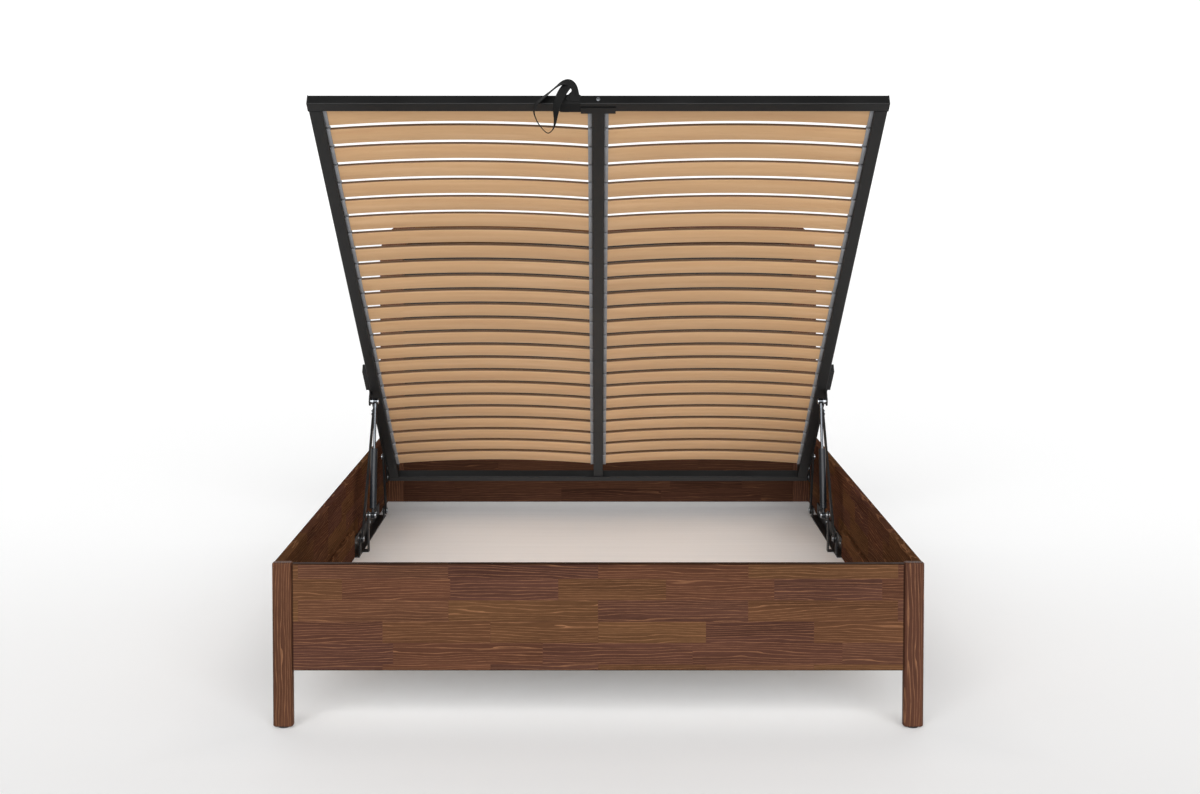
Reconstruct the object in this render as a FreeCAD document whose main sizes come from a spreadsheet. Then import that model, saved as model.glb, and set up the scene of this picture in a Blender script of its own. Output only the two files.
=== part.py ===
import FreeCAD, Part
import math
import os
import re
from types import SimpleNamespace

# An ottoman bed: a wooden box with a headboard, and a slatted steel deck that lifts on links and gas struts.
# Millimetres, +X to the right seen from the foot end, +Y towards the headboard, +Z up.
# The origin is on the floor, in the middle of the bed's outline. The deck is drawn open.

Vector = FreeCAD.Vector
ALONG_X = Vector(1, 0, 0)
ALONG_Y = Vector(0, 1, 0)
ALONG_Z = Vector(0, 0, 1)
SIDES = (("left", -1), ("right", 1))

doc = FreeCAD.newDocument("ottoman_bed")
sizes = doc.addObject("Spreadsheet::Sheet", "sizes")

# Driving dimensions
dimensions = (
    # Wooden box: width over the rails, and length from the front of the legs to the face of the headboard
    ("bed_width", 1480),
    ("box_length", 2036),
    ("leg_width", 46),
    ("leg_depth", 28),
    ("leg_height", 379),
    ("leg_radius", 9),
    ("board_thickness", 22),
    ("board_height", 245),
    ("board_clearance", 132),
    ("panel_recess", 1.5),
    ("edge_radius", 4),
    ("glide_height", 3),
    ("glide_radius", 12),
    # Headboard
    ("headboard_height", 1110),
    ("post_width", 78),
    ("post_depth", 45),
    ("top_rail_height", 68),
    ("corner_radius", 120),
    ("back_panel_height", 283),
    ("insert_clearance", 0.3),
    ("insert_setback", 8),
    ("insert_board_thickness", 10),
    ("pad_thickness", 20),
    ("pad_roll", 16),
    ("pad_crown", 5),
    # Dowels between the boards
    ("dowel_radius", 5),
    ("dowel_length", 44),
    ("dowel_margin", 60),
    ("fit_clearance", 0.05),
    # Storage floor and what carries it
    ("floor_thickness", 6),
    ("floor_clearance", 1),
    ("cleat_height", 13),
    ("cleat_width", 20),
    ("bearer_width", 60),
    ("rest_length", 490),
    ("rest_width", 30),
    ("rest_height", 30),
    ("rest_clearance", 0.3),
    ("centre_foot_radius", 20),
    ("plank_thickness", 13),
    ("plank_height", 81),
    ("plank_gap", 8),
    ("bracket_leg", 40),
    ("bracket_height", 60),
    ("bracket_thickness", 3),
    # Slatted deck
    ("foot_clearance", 11.5),
    ("head_clearance", 6),
    ("tube_width", 30),
    ("tube_height", 25),
    ("tube_wall", 1.5),
    ("tube_corner", 2),
    ("cap_flange", 2),
    ("cap_plug", 12),
    ("cap_clearance", 0.2),
    ("slat_width", 61),
    ("slat_thickness", 8),
    ("slat_gap", 13.5),
    ("slat_crown", 14),
    ("slat_seat", 10),
    ("first_slat", 39),
    ("slat_end_room", 55),
    ("holder_length", 13),
    ("holder_wall", 1.5),
    ("holder_end", 3),
    ("holder_slack", 0.3),
    ("holder_rise", 1.2),
    ("junction_length", 82),
    ("junction_depth", 21),
    ("junction_inset", 14),
    ("junction_thickness", 2.5),
    # Deck poses: height of its underside closed, and the place of its head edge open
    ("deck_closed_height", 300),
    ("open_head_offset", 242),
    ("open_head_height", 262.5),
    # Lift mechanism
    ("plate_thickness", 4),
    ("link_thickness", 5),
    ("link_half_width", 12),
    ("link_gap", 2),
    ("base_room", 17),
    ("base_height", 44),
    ("base_overhang", 34),
    ("ear_radius", 16),
    ("pin_radius", 5),
    ("pin_head_radius", 8),
    ("pin_head", 3),
    ("pin_slack", 0.3),
    ("rear_pivot_height", 176),
    ("rear_pin_set", 150),
    ("front_pivot_height", 200),
    ("front_pin_set", 450),
    ("top_plate_start", 112),
    ("top_plate_reach", 725),
    ("top_plate_rib", 8),
    ("rib_length", 110),
    ("lug_radius", 13),
    # Gas struts
    ("strut_foot_back", 57),
    ("strut_foot_rise", 58),
    ("strut_pin_set", 590),
    ("strut_pin_drop", 25),
    ("strut_radius", 10),
    ("strut_wall", 1.5),
    ("strut_side_gap", 1),
    ("strut_gland", 8),
    ("rod_radius", 4),
    ("piston_length", 8),
    ("eye_radius", 8.5),
    ("eye_half_width", 6),
    ("eye_neck", 20),
    ("strut_end_gap", 3),
    # Screws
    ("screw_radius", 2.5),
    ("screw_head_radius", 5),
    ("screw_head", 2.5),
    ("screw_depth", 15),
    # Pull strap
    ("strap_width", 25),
    ("strap_thickness", 2.4),
    ("strap_place", 54),
    ("strap_rise", 42),
    ("strap_drop", 62),
    ("strap_reach", 62),
    ("strap_bend", 17),
)
OPEN_ANGLE = 35.6
BEARER_COUNT = 3
SCREW_COUNT = 4
MATCH = 1e-6
# Places of the screws, as shares of the bracket that they hold
BRACKET_SCREW_SHARES = (0.25, 0.75)
BRACKET_RAIL_SHARE = 0.6
BRACKET_POST_SHARE = 0.7
BASE_SCREW_SHARE = 0.6
# Rolled edge of the headboard pad, as shares of its roll: how far drawn in, and how far behind the face
PAD_EDGE_SHARES = ((0, 0.5), (0.25, 0.125), (1, 0))
# Where a quarter circle's middle lies, as a share of its radius
DIAGONAL_SHARE = math.sqrt(0.5)

for row, (name, value) in enumerate(dimensions, start=1):
    sizes.set(f"A{row}", name)
    sizes.set(f"B{row}", str(value))
    sizes.setAlias(f"B{row}", name)
doc.recompute()
d = SimpleNamespace(**{name: float(sizes.get(name)) for name, value in dimensions})

# Places worked out from the driving dimensions, in numbers and as text for the bound sizes
FRONT = "(0 - (box_length + post_depth) / 2)"
RAIL_INSIDE = "(bed_width / 2 - board_thickness)"
STACK = "(3 * plate_thickness + link_thickness + 2 * link_gap + base_room)"
DECK_HALF = f"({RAIL_INSIDE} - {STACK})"
PANEL_BACK = "(panel_recess + board_thickness)"
DECK_LENGTH = f"(box_length - {PANEL_BACK} - foot_clearance - head_clearance)"

half = d.bed_width / 2
front = -(d.box_length + d.post_depth) / 2
head_face = front + d.box_length
rail_inside = half - d.board_thickness
panel_back = front + d.panel_recess + d.board_thickness
floor_top = d.board_clearance + d.cleat_height + d.floor_thickness
stack = 3 * d.plate_thickness + d.link_thickness + 2 * d.link_gap + d.base_room
deck_half = rail_inside - stack
deck_length = head_face - panel_back - d.foot_clearance - d.head_clearance
plate_outside = deck_half + d.plate_thickness
link_inside = plate_outside + d.link_gap
link_outside = link_inside + d.link_thickness
ear_inside = link_outside + d.link_gap
ear_outside = ear_inside + d.plate_thickness
strut_place = deck_half - d.plate_thickness - d.strut_side_gap - d.strut_radius

nodes = []


def bind(thing, prop, text):
    """Bind a property to the sheet: each word in the text is one of its sizes."""
    thing.setExpression(prop, re.sub(r"[a-z]\w+", r"sizes.\g<0>", text))


def place_block(block, spans):
    """Bind a block's start and extent along X, Y and Z."""
    for prop, axis, (start, extent) in zip(("Length", "Width", "Height"), "xyz", spans):
        bind(block, prop, extent)
        bind(block, f"Placement.Base.{axis}", start)


def keep(thing, label, pose=None):
    """Name a finished sub-part and put it in its place."""
    thing.Label = label
    if pose is not None:
        thing.Placement = pose
    nodes.append(thing)
    return thing


def feature(label, solids, pose=None):
    """A sub-part of one solid, or a group of like solids, made in code."""
    thing = doc.addObject("Part::Feature", label)
    thing.Shape = solids[0] if len(solids) == 1 else Part.makeCompound(solids)
    return keep(thing, label, pose)


def block_body(name, spans, corners=None, hollow=None):
    """A body made of one block: its corners are rounded if given, and a second block is taken out if hollow."""
    body = doc.addObject("PartDesign::Body", name)
    block = body.newObject("PartDesign::AdditiveBox", f"{name}_block")
    place_block(block, spans)
    body.Tip = block
    doc.recompute()
    if corners is not None:
        ease(body, *corners)
    if hollow is not None:
        core = body.newObject("PartDesign::SubtractiveBox", f"{name}_core")
        place_block(core, hollow)
        body.Tip = core
    doc.recompute()
    return body


def ease(body, radius, wanted):
    """Round the edges of a body that the test picks."""
    base = body.Tip
    picked = [f"Edge{i}" for i, edge in enumerate(base.Shape.Edges, start=1) if wanted(edge)]
    rounding = body.newObject("PartDesign::Fillet", f"{body.Name}_edges")
    rounding.Base = (base, picked)
    bind(rounding, "Radius", radius)
    body.Tip = rounding
    doc.recompute()


def runs_along(axis):
    """Test for straight edges that run along an axis."""
    return lambda edge: edge.tangentAt(edge.FirstParameter).cross(axis).Length < MATCH


def level(edge):
    """Test for edges that lie in a level plane."""
    return edge.BoundBox.ZLength < MATCH


def bored(label, base, bores, pose=None):
    """A sub-part with holes for its dowels, screws or pins."""
    result = doc.addObject("Part::Cut", f"{label}_bored")
    base.Label = f"{label}_blank"
    result.Base = base
    result.Tool = bores
    return keep(result, label, pose)


def box(x, y, z):
    """A box from its spans along the three axes."""
    return Part.makeBox(x[1] - x[0], y[1] - y[0], z[1] - z[0], Vector(x[0], y[0], z[0]))


def across(sign, x, y, z, radius):
    """A round bar along X between two distances from the middle of the bed."""
    ends = sorted((sign * x[0], sign * x[1]))
    return Part.makeCylinder(radius, ends[1] - ends[0], Vector(ends[0], y, z), ALONG_X)


def side_box(sign, x, y, z):
    """A box whose span along X is given as distances from the middle of the bed."""
    return box(sorted((sign * x[0], sign * x[1])), y, z)


def joined(shapes):
    """One solid from overlapping shapes."""
    return shapes[0].multiFuse(shapes[1:]).removeSplitter()


def outline(points, bulges):
    """A closed wire; a bulge maps the number of an edge to a point that its arc passes through."""
    edges = []
    for i, start in enumerate(points):
        end = points[(i + 1) % len(points)]
        curve = Part.Arc(start, bulges[i], end) if i in bulges else Part.LineSegment(start, end)
        edges.append(curve.toShape())
    return Part.Wire(edges)


# Dowels: two in each corner joint, half in each board
dowel_heights = (d.board_clearance + d.dowel_margin, d.board_clearance + d.board_height - d.dowel_margin)
dowel_half = d.dowel_length / 2
panel_middle = front + d.panel_recess + d.board_thickness / 2
back_middle = head_face + d.board_thickness / 2
rail_middle = half - d.board_thickness / 2
dowel_starts = []
for name, sign in SIDES:
    for height in dowel_heights:
        for joint, middle in ((half - d.leg_width, panel_middle), (half - d.post_width, back_middle)):
            dowel_starts.append((Vector(sign * joint - dowel_half, middle, height), ALONG_X))
        for joint in (front + d.leg_depth, head_face):
            dowel_starts.append((Vector(sign * rail_middle, joint - dowel_half, height), ALONG_Y))
feature("joint_dowels", [Part.makeCylinder(d.dowel_radius, d.dowel_length, *start) for start in dowel_starts])

# Screws: a domed head and a shank that goes into the wood behind the plate
screws = []
screw_bores = []


def add_screw(point, inward, grip, depth):
    """A screw whose head sits at the point, through a plate of the given grip."""
    head = Part.makeCylinder(d.screw_head_radius, d.screw_head, point, inward * -1)
    rim = [edge for edge in head.Edges if (edge.CenterOfMass - point).Length > d.screw_head - MATCH
           and edge.Curve.TypeId == "Part::GeomCircle"]
    dome = head.makeFillet(d.screw_head / 2, rim[:1])
    shank = Part.makeCylinder(d.screw_radius, grip + depth, point, inward)
    screw_bores.append(Part.makeCylinder(d.screw_radius + d.fit_clearance, grip + depth, point, inward))
    return joined([dome, shank])


# Pivots of the lift linkage, seen from the side as points in Y and Z.
# Each link turns on a base pivot that is as far from its pin when the deck is open as when it is closed.
turn = math.radians(OPEN_ANGLE)
open_head = (head_face - d.open_head_offset, d.open_head_height)
closed_head = (head_face - d.head_clearance, d.deck_closed_height)
pin_level = d.tube_height / 2


def open_point(along, rise):
    """A point of the open deck, from its distance to the head edge and its rise over the underside."""
    y = open_head[0] - along * math.cos(turn) + rise * math.sin(turn)
    z = open_head[1] + along * math.sin(turn) + rise * math.cos(turn)
    return y, z


def closed_point(along, rise):
    """The same point with the deck closed."""
    return closed_head[0] - along, closed_head[1] + rise


def base_pivot(along, rise, height):
    """The point at the given height that is as far from the pin in both poses."""
    opened = open_point(along, rise)
    closed = closed_point(along, rise)
    middle_y = (opened[0] + closed[0]) / 2
    middle_z = (opened[1] + closed[1]) / 2
    slope = (closed[1] - opened[1]) / (closed[0] - opened[0])
    return middle_y - slope * (height - middle_z), height


def span(start, end):
    """Length and angle in degrees of the line between two pivots."""
    return math.dist(start, end), math.degrees(math.atan2(end[1] - start[1], end[0] - start[0]))


rear_pivot = base_pivot(d.rear_pin_set, pin_level, d.rear_pivot_height)
front_pivot = base_pivot(d.front_pin_set, pin_level, d.front_pivot_height)
strut_pivot = (front_pivot[0] + d.strut_foot_back, front_pivot[1] + d.strut_foot_rise)
rear_pin = open_point(d.rear_pin_set, pin_level)
front_pin = open_point(d.front_pin_set, pin_level)
strut_pin = open_point(d.strut_pin_set, -d.strut_pin_drop)
rear_length, rear_angle = span(rear_pivot, rear_pin)
front_length, front_angle = span(front_pivot, front_pin)
strut_open, strut_angle = span(strut_pivot, strut_pin)
strut_closed, strut_closed_angle = span(strut_pivot, closed_point(d.strut_pin_set, -d.strut_pin_drop))
base_span = (front_pivot[0] - d.base_overhang, rear_pivot[0] + d.base_overhang)
pin_bore = d.pin_radius + d.fit_clearance

# Rear corner brackets: steel angles between the rails and the headboard posts
bracket_bottom = sum(dowel_heights) / 2 - d.bracket_height / 2
bracket_top = bracket_bottom + d.bracket_height
brackets = []
for name, sign in SIDES:
    on_rail = side_box(sign, (rail_inside - d.bracket_thickness, rail_inside),
                       (head_face - d.bracket_leg, head_face), (bracket_bottom, bracket_top))
    on_post = side_box(sign, (rail_inside - d.bracket_leg, rail_inside),
                       (head_face - d.bracket_thickness, head_face), (bracket_bottom, bracket_top))
    brackets.append(joined([on_rail, on_post]))
    for share in BRACKET_SCREW_SHARES:
        height = bracket_bottom + d.bracket_height * share
        face = sign * (rail_inside - d.bracket_thickness)
        screws.append(add_screw(Vector(face, head_face - d.bracket_leg * BRACKET_RAIL_SHARE, height),
                                ALONG_X * sign, d.bracket_thickness, d.screw_depth))
        face = sign * (rail_inside - d.bracket_leg * BRACKET_POST_SHARE)
        screws.append(add_screw(Vector(face, head_face - d.bracket_thickness, height),
                                ALONG_Y, d.bracket_thickness, d.screw_depth))
    screw_level = floor_top + d.base_height * BASE_SCREW_SHARE
    screw_pitch = (base_span[1] - base_span[0]) / SCREW_COUNT
    for i in range(SCREW_COUNT):
        along = base_span[0] + screw_pitch * i + screw_pitch / 2
        point = Vector(sign * (rail_inside - d.plate_thickness), along, screw_level)
        screws.append(add_screw(point, ALONG_X * sign, d.plate_thickness, d.screw_depth))
feature("frame_screws", screws)
feature("corner_brackets", [bracket.cut(Part.makeCompound(screw_bores)) for bracket in brackets])

bores = doc.addObject("Part::Feature", "bores")
bores.Shape = Part.makeCompound(screw_bores + [
    Part.makeCylinder(d.dowel_radius + d.fit_clearance, d.dowel_length, *start) for start in dowel_starts])

# Front legs: flat pine posts with rounded corners
for name, sign in SIDES:
    leg = block_body(f"front_leg_{name}_block", (
        (f"{sign} * (bed_width / 2 - leg_width / 2) - leg_width / 2", "leg_width"),
        (FRONT, "leg_depth"),
        ("glide_height", "leg_height - glide_height")))
    ease(leg, "leg_radius", runs_along(ALONG_Z))
    ease(leg, "edge_radius", level)
    bored(f"front_leg_{name}", leg, bores)

# Front panel: a glued board between the legs
panel = block_body("front_panel_block", (
    ("leg_width - bed_width / 2", "bed_width - 2 * leg_width"),
    (f"{FRONT} + panel_recess", "board_thickness"),
    ("board_clearance", "board_height")))
ease(panel, "edge_radius", runs_along(ALONG_X))
bored("front_panel", panel, bores)

# Side rails: from the legs to the headboard, flush with the outside of the legs
for name, sign in SIDES:
    rail = block_body(f"side_rail_{name}_block", (
        (f"{sign} * (bed_width / 2 - board_thickness / 2) - board_thickness / 2", "board_thickness"),
        (f"{FRONT} + leg_depth", "box_length - leg_depth"),
        ("board_clearance", "board_height")))
    ease(rail, "edge_radius", runs_along(ALONG_Y))
    bored(f"side_rail_{name}", rail, bores)

# Back panel: closes the box between the headboard posts
back_panel = block_body("back_panel_block", (
    ("post_width - bed_width / 2", "bed_width - 2 * post_width"),
    (f"{FRONT} + box_length", "board_thickness"),
    ("board_clearance", "back_panel_height")))
ease(back_panel, "edge_radius", runs_along(ALONG_X))
bored("back_panel", back_panel, bores)

# Headboard posts: the rear legs, each with a rounded corner that meets the top rail
post_inside = half - d.post_width
corner_start = half - d.corner_radius
top_rail_bottom = d.headboard_height - d.top_rail_height
inner_corner = d.corner_radius - d.post_width
inner_level = top_rail_bottom - inner_corner
outer_level = d.headboard_height - d.corner_radius
for name, sign in SIDES:
    def at(x, z):
        return Vector(sign * x, head_face, z)
    corners = [
        at(half, d.glide_height), at(half, outer_level), at(corner_start, d.headboard_height),
        at(corner_start, top_rail_bottom), at(post_inside, inner_level), at(post_inside, d.glide_height)]
    bulges = {
        1: at(corner_start + d.corner_radius * DIAGONAL_SHARE, outer_level + d.corner_radius * DIAGONAL_SHARE),
        3: at(corner_start + inner_corner * DIAGONAL_SHARE, inner_level + inner_corner * DIAGONAL_SHARE)}
    post = Part.Face(outline(corners, bulges)).extrude(Vector(0, d.post_depth, 0))
    if post.Volume < 0:
        post = post.reversed()
    long_edges = [
        edge for edge in post.Edges
        if edge.BoundBox.YLength < MATCH and edge.BoundBox.ZMax > d.glide_height + MATCH
        and abs(abs(edge.CenterOfMass.x) - corner_start) > MATCH]
    blank = doc.addObject("Part::Feature", f"headboard_post_{name}_shape")
    blank.Shape = post.makeFillet(d.edge_radius, long_edges)
    bored(f"headboard_post_{name}", blank, bores)

# Top rail of the headboard
top_rail = block_body("headboard_top_rail_block", (
    ("corner_radius - bed_width / 2", "bed_width - 2 * corner_radius"),
    (f"{FRONT} + box_length", "post_depth"),
    ("headboard_height - top_rail_height", "top_rail_height")))
ease(top_rail, "edge_radius", runs_along(ALONG_X))
keep(top_rail, "headboard_top_rail")

# Insert of the headboard: a thin board in the frame with an upholstered pad in front of it
insert_bottom = d.board_clearance + d.back_panel_height
insert_back = head_face + d.insert_setback + d.pad_thickness + d.insert_board_thickness
board_front = insert_back - d.insert_board_thickness


def insert_wire(inset, y):
    """Outline of the frame's opening, drawn in by an inset."""
    side = post_inside - inset
    top = top_rail_bottom - inset
    bottom = insert_bottom + max(inset - d.insert_clearance, 0)
    radius = max(inner_corner - inset, d.edge_radius)
    swing = radius * DIAGONAL_SHARE
    corners = [
        Vector(-side, y, bottom), Vector(side, y, bottom), Vector(side, y, top - radius),
        Vector(side - radius, y, top), Vector(radius - side, y, top), Vector(-side, y, top - radius)]
    bulges = {
        2: Vector(side - radius + swing, y, top - radius + swing),
        4: Vector(radius - side - swing, y, top - radius + swing)}
    return outline(corners, bulges)


board_face = Part.Face(insert_wire(d.insert_clearance, board_front))
feature("headboard_board", [board_face.extrude(Vector(0, d.insert_board_thickness, 0))])
pad_front = board_front - d.pad_thickness
pad_sections = [(d.insert_clearance, board_front)]
for drawn_in, behind in PAD_EDGE_SHARES:
    pad_sections.append((d.insert_clearance + d.pad_roll * drawn_in,
                         pad_front + d.pad_crown + d.pad_roll * behind))
pad_sections.append((d.insert_clearance + 2 * d.pad_roll, pad_front))
feature("headboard_pad", [Part.makeLoft([insert_wire(*section) for section in pad_sections], True, True)])

# Glides under the legs and the posts
glide_places = []
for name, sign in SIDES:
    glide_places.append(Vector(sign * (half - d.leg_width / 2), front + d.leg_depth / 2, 0))
    glide_places.append(Vector(sign * (half - d.post_width / 2), head_face + d.post_depth / 2, 0))
glide_places.append(Vector(0, front + d.box_length / 2, 0))
feature("foot_glides", [Part.makeCylinder(d.glide_radius, d.glide_height, place) for place in glide_places])

# Storage floor: a white board on cleats and cross bearers, notched round the front legs
floor_blank = doc.addObject("Part::Box", "storage_floor_blank")
place_block(floor_blank, (
    (f"floor_clearance - {RAIL_INSIDE}", f"2 * ({RAIL_INSIDE} - floor_clearance)"),
    (f"{FRONT} + {PANEL_BACK} + floor_clearance", f"box_length - {PANEL_BACK} - 2 * floor_clearance"),
    ("board_clearance + cleat_height", "floor_thickness")))
notches = doc.addObject("Part::Feature", "floor_notches")
notches.Shape = Part.makeCompound([
    side_box(sign, (half - d.leg_width - d.floor_clearance, half),
             (front, front + d.leg_depth + d.floor_clearance), (0, d.leg_height)) for name, sign in SIDES])
bored("storage_floor", floor_blank, notches)

cleat_span = (d.board_clearance, d.board_clearance + d.cleat_height)
bearer_half = rail_inside - d.cleat_width
cleats = [side_box(sign, (bearer_half, rail_inside), (front + d.leg_depth, head_face), cleat_span)
          for name, sign in SIDES]
leg_inside = half - d.leg_width
cleats.append(box((-leg_inside, leg_inside), (panel_back, panel_back + d.cleat_width), cleat_span))
cleats.append(box((-bearer_half, bearer_half), (head_face - d.cleat_width, head_face), cleat_span))
feature("floor_cleats", cleats)

bearers = []
for i in range(BEARER_COUNT):
    middle = front + d.box_length * (i + 1) / (BEARER_COUNT + 1)
    bearers.append(box((-bearer_half, bearer_half),
                       (middle - d.bearer_width / 2, middle + d.bearer_width / 2), cleat_span))
feature("floor_bearers", bearers)

# Rests inside the front panel: a batten beside each leg, just under the foot tube of the closed deck
rest_top = d.deck_closed_height - d.rest_clearance
feature("deck_rest", [
    side_box(sign, (leg_inside - d.rest_length, leg_inside), (panel_back, panel_back + d.rest_width),
             (rest_top - d.rest_height, rest_top)) for name, sign in SIDES])

# Foot under the middle bearer
centre_foot = doc.addObject("Part::Cylinder", "centre_foot_post")
bind(centre_foot, "Radius", "centre_foot_radius")
bind(centre_foot, "Height", "board_clearance - glide_height")
bind(centre_foot, "Placement.Base.y", f"{FRONT} + box_length / 2")
bind(centre_foot, "Placement.Base.z", "glide_height")
keep(centre_foot, "centre_foot")

# Planks along the foot of the rails, in front of the lift mechanism
plank_run = (front + d.leg_depth, base_span[0] - d.plank_gap)
for name, sign in SIDES:
    plank = side_box(sign, (rail_inside - d.plank_thickness, rail_inside), plank_run,
                     (floor_top, floor_top + d.plank_height))
    long_edges = list(filter(runs_along(ALONG_Y), plank.Edges))
    feature(f"side_plank_{name}", [plank.makeFillet(d.edge_radius, long_edges)])

# Base brackets of the lift mechanism: a steel angle on the rail with ears for the pivots
for name, sign in SIDES:
    upright = side_box(sign, (rail_inside - d.plate_thickness, rail_inside), base_span,
                       (floor_top, floor_top + d.base_height))
    sole = side_box(sign, (ear_inside, rail_inside), base_span, (floor_top, floor_top + d.plate_thickness))
    pieces = [upright, sole]
    for pivot in (rear_pivot, front_pivot):
        pieces.append(side_box(sign, (ear_inside, ear_outside),
                               (pivot[0] - d.ear_radius, pivot[0] + d.ear_radius), (floor_top, pivot[1])))
        pieces.append(across(sign, (ear_inside, ear_outside), *pivot, d.ear_radius))
    strut_ear = (deck_half - d.plate_thickness, deck_half)
    ear_span = (strut_pivot[0] - d.lug_radius, strut_pivot[0] + d.lug_radius)
    pieces.append(side_box(sign, (strut_ear[0], rail_inside), ear_span,
                           (floor_top, floor_top + d.plate_thickness)))
    pieces.append(side_box(sign, strut_ear, ear_span, (floor_top, strut_pivot[1])))
    pieces.append(across(sign, strut_ear, *strut_pivot, d.lug_radius))
    pin_bores = [across(sign, (strut_ear[0], ear_outside), *pivot, pin_bore)
                 for pivot in (rear_pivot, front_pivot, strut_pivot)]
    base = joined(pieces).cut(Part.makeCompound(pin_bores + screw_bores))
    feature(f"mechanism_base_{name}", [base])


def headed_pin(sign, y, z, shaft, heads):
    """A pin along X with a head over each of the given spans."""
    bars = [across(sign, shaft, y, z, d.pin_radius)]
    bars += [across(sign, head, y, z, d.pin_head_radius) for head in heads]
    return joined(bars)


inner_head = (link_inside - d.pin_slack - d.pin_head, link_inside - d.pin_slack)
outer_head = (ear_outside, ear_outside + d.pin_head)
link_head = (link_outside + d.pin_slack, link_outside + d.pin_slack + d.pin_head)
feature("base_pivot_pins", [
    headed_pin(sign, *pivot, (inner_head[0], outer_head[1]), (inner_head, outer_head))
    for name, sign in SIDES for pivot in (rear_pivot, front_pivot)])
eye_span = (strut_place - d.eye_half_width, strut_place + d.eye_half_width)
eye_head = (eye_span[0] - d.pin_slack - d.pin_head, eye_span[0] - d.pin_slack)
eye_collar = (eye_span[1] + d.pin_slack, deck_half - d.plate_thickness)
foot_head = (deck_half, deck_half + d.pin_head)
feature("strut_foot_pins", [
    headed_pin(sign, *strut_pivot, (eye_head[0], foot_head[1]), (eye_head, eye_collar, foot_head))
    for name, sign in SIDES])


def link_bar(sign, length, bore):
    """A flat bar with round ends, along Y from its first pivot, with a bore at both pivots."""
    x = (link_inside, link_outside)
    bar = joined([
        side_box(sign, x, (0, length), (-d.link_half_width, d.link_half_width)),
        across(sign, x, 0, 0, d.link_half_width), across(sign, x, length, 0, d.link_half_width)])
    return bar.cut(Part.makeCompound([across(sign, x, 0, 0, bore), across(sign, x, length, 0, bore)]))


def side_pose(point, angle):
    """A pose turned about X, at a point seen from the side."""
    return FreeCAD.Placement(Vector(0, *point), FreeCAD.Rotation(ALONG_X, angle))


# Links: short ones at the rear, long ones at the front
for name, sign in SIDES:
    feature(f"rear_link_{name}", [link_bar(sign, rear_length, pin_bore)], side_pose(rear_pivot, rear_angle))
    feature(f"front_link_{name}", [link_bar(sign, front_length, pin_bore)], side_pose(front_pivot, front_angle))
feature("front_link_pins", [
    headed_pin(sign, *front_pin, (plate_outside + d.pin_slack, link_head[1]), (link_head,))
    for name, sign in SIDES])

# Screws through the foot and head tubes into the ends of the centre tube, drawn in the deck's own frame,
# which starts at its head edge and is turned to its open pose
deck_pose = side_pose(open_head, -OPEN_ANGLE)
frame_bores = len(screw_bores)
feature("deck_screws", [
    add_screw(Vector(0, -deck_length, pin_level), ALONG_Y, d.tube_wall, d.screw_depth),
    add_screw(Vector(0, 0, pin_level), ALONG_Y * -1, d.tube_wall, d.screw_depth)], deck_pose)
deck_bores = doc.addObject("Part::Feature", "deck_bores")
deck_bores.Shape = Part.makeCompound(screw_bores[frame_bores:])

# Deck frame: welded rectangular tubes
CORE_HEIGHT = ("tube_wall", "tube_height - 2 * tube_wall")
for label, start in (("deck_foot_tube", f"0 - {DECK_LENGTH}"), ("deck_head_tube", "0 - tube_width")):
    tube = block_body(f"{label}_profile", (
        (f"0 - {DECK_HALF}", f"2 * {DECK_HALF}"), (start, "tube_width"), ("0", "tube_height")),
        ("tube_corner", runs_along(ALONG_X)),
        ((f"0 - {DECK_HALF}", f"2 * {DECK_HALF}"), (f"{start} + tube_wall", "tube_width - 2 * tube_wall"),
         CORE_HEIGHT))
    bored(label, tube, deck_bores, deck_pose)
LONG_RUN = (f"tube_width - {DECK_LENGTH}", f"{DECK_LENGTH} - 2 * tube_width")
for label, start in (
        ("deck_side_tube_left", f"0 - {DECK_HALF}"), ("deck_centre_tube", "0 - tube_width / 2"),
        ("deck_side_tube_right", f"{DECK_HALF} - tube_width")):
    tube = block_body(f"{label}_profile", (
        (start, "tube_width"), LONG_RUN, ("0", "tube_height")),
        ("tube_corner", runs_along(ALONG_Y)),
        ((f"{start} + tube_wall", "tube_width - 2 * tube_wall"), LONG_RUN, CORE_HEIGHT))
    keep(tube, label, deck_pose)

# Caps in the open ends of the foot and head tubes
caps = []
plug_inset = d.tube_wall + d.cap_clearance
for name, sign in SIDES:
    for start in (-deck_length, -d.tube_width):
        flange = side_box(sign, (deck_half, deck_half + d.cap_flange), (start, start + d.tube_width),
                          (0, d.tube_height))
        plug = side_box(sign, (deck_half - d.cap_plug, deck_half),
                        (start + plug_inset, start + d.tube_width - plug_inset),
                        (plug_inset, d.tube_height - plug_inset))
        caps.append(joined([flange, plug]))
feature("tube_caps", caps, deck_pose)

# Junction plates: each laps from the foot or head tube onto the end of the centre tube
junctions = []
junction_end = d.junction_inset + d.junction_depth
for run in ((d.junction_inset - deck_length, junction_end - deck_length), (-junction_end, -d.junction_inset)):
    junctions.append(box((-d.junction_length / 2, d.junction_length / 2), run, (-d.junction_thickness, 0)))
feature("junction_plates", junctions, deck_pose)

# Slats: bowed beech strips in two columns, and the plastic holders at their ends
slat_pitch = d.slat_width + d.slat_gap
slat_room = deck_length - d.first_slat - d.tube_width - d.slat_end_room
slat_count = int((slat_room + d.slat_gap) / slat_pitch)
slat_end = d.holder_end + d.holder_slack
column_inside = d.tube_width / 2
column_outside = deck_half - d.tube_width
slat_starts = [d.first_slat - deck_length + i * slat_pitch for i in range(slat_count)]


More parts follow.
